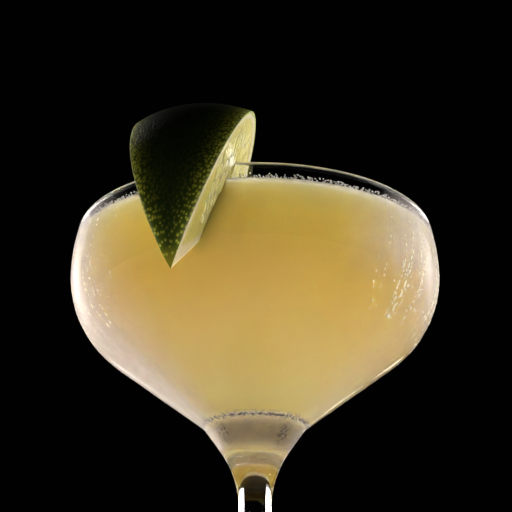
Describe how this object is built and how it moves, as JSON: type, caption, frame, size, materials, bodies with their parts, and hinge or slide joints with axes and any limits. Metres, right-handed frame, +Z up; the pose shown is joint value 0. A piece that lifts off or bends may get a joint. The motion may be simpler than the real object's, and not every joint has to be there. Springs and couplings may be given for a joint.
{
  "type": "margarita cocktail",
  "caption": "Cloudy golden margarita served up in a stemmed coupe glass, with a lime wedge slit onto the rim.",
  "frame": {"origin": "centre of the foot's resting plane, on the axis of the glass", "axes": "+Z up along the axis of the glass; -Y is the front, where the lime wedge sits, a little to the -X side"},
  "size_m": [0.088, 0.1058, 0.1545],
  "materials": {
    "glass": "clear, polished, misted with condensation on the bowl",
    "drink": "cloudy golden liquid, wet surface",
    "lime": "dark green waxy peel with pores, pale yellow-green wet flesh"
  },
  "bodies": {
    "root": {"glass": "glass", "drink": "drink", "lime_wedge": "lime"}
  },
  "joints": []
}
